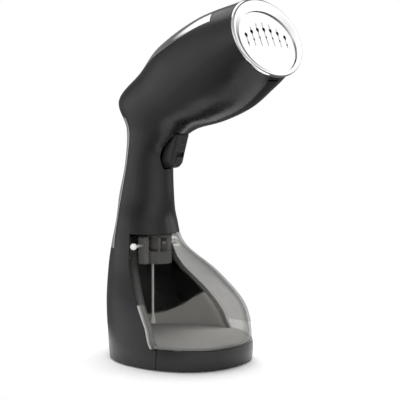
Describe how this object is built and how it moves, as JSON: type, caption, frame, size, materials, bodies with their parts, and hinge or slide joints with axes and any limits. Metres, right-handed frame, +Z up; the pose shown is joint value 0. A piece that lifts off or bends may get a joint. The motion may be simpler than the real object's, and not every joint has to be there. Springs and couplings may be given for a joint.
{
  "type": "garment steamer",
  "caption": "Hand-held garment steamer: tilted steam head, slim handle with trigger, clear water tank that slides out of a flared base.",
  "frame": {"origin": "centre of the footprint, on the surface the steamer stands on", "axes": "+X forwards, the way the steam head points; +Z up; the seam between the two casing halves lies in the XZ plane"},
  "size_m": [0.1724, 0.106, 0.2834],
  "materials": {
    "casing": "satin",
    "chrome": "polished",
    "steam_plate": "polished",
    "seal_rubber": "matte",
    "black_rubber": "matte",
    "cast_aluminium": "cast",
    "heater_metal": "heat tinted",
    "ceramic_white": "matte",
    "heat_board": "matte",
    "steel": "plain",
    "hose": "soft translucent",
    "pump_body": "matte",
    "board": "matte",
    "components": "matte",
    "terminal": "matte",
    "trigger_plastic": "matte",
    "base_plastic": "matte",
    "clear_plastic": "clear",
    "cap_plastic": "translucent",
    "floor_plastic": "gloss",
    "valve_plastic": "satin",
    "tube_plastic": "translucent",
    "white_plastic": "gloss",
    "spring_steel": "bright"
  },
  "bodies": {
    "handle": {"left_casing": "casing", "right_casing": "casing", "chrome_top_cover": "chrome", "chrome_back_strip": "chrome", "nozzle_rim": "chrome", "steam_plate": "steam_plate", "plate_gasket": "seal_rubber", "steam_chamber": "cast_aluminium", "heater_element": "heater_metal", "thermostat": "ceramic_white", "thermal_fuse": "steel", "heat_sleeve": "heat_board", "chamber_screws": "steel", "check_valve": "white_plastic", "outlet_hose": "hose", "inlet_hose": "hose", "pump": "pump_body", "pump_mounts": "black_rubber", "control_board": "board", "board_parts": "components", "terminal_block": "terminal", "microswitch": "components", "trigger_pin": "steel", "trigger_spring": "spring_steel", "cord_gland": "base_plastic", "base_plate": "base_plastic", "base_screws": "steel", "skirt_feet": "black_rubber", "neck_plate": "base_plastic", "dock_socket": "valve_plastic", "dock_seal": "seal_rubber"},
    "tank": {"tank_shell": "clear_plastic", "tank_floor": "floor_plastic", "foot_band": "base_plastic", "foot_sole": "base_plastic", "sole_screws": "steel", "front_feet": "black_rubber", "tank_cap": "cap_plastic", "valve_body": "valve_plastic", "valve_seal": "black_rubber", "suction_tube": "tube_plastic", "suction_filter": "white_plastic", "latch_blocks": "valve_plastic", "latch_springs": "spring_steel"},
    "right_latch": {"right_latch_pin": "white_plastic"},
    "left_latch": {"left_latch_pin": "white_plastic"},
    "trigger": {"trigger": "trigger_plastic"},
    "trigger_lock": {"lock_slider": "trigger_plastic"}
  },
  "joints": [
    {"name": "tank_release", "type": "slide", "parent": "handle", "child": "tank", "axis": [1, 0, 0], "range_m": [0, 0.11]},
    {"name": "trigger_press", "type": "hinge", "parent": "handle", "child": "trigger", "pos_m": [-0.006, 0, 0.184], "axis": [0, 1, 0], "range_deg": [0, 8], "stiffness_Nm_per_rad": 0.5},
    {"name": "lock_slide", "type": "slide", "parent": "trigger", "child": "trigger_lock", "axis": [0.2929, 0, 0.9562], "range_m": [0, 0.003]},
    {"name": "right_latch_press", "type": "slide", "parent": "tank", "child": "right_latch", "axis": [0, 1, 0], "range_m": [0, 0.002], "stiffness_N_per_m": 300},
    {"name": "left_latch_press", "type": "slide", "parent": "tank", "child": "left_latch", "axis": [0, -1, 0], "range_m": [0, 0.002], "stiffness_N_per_m": 300}
  ]
}
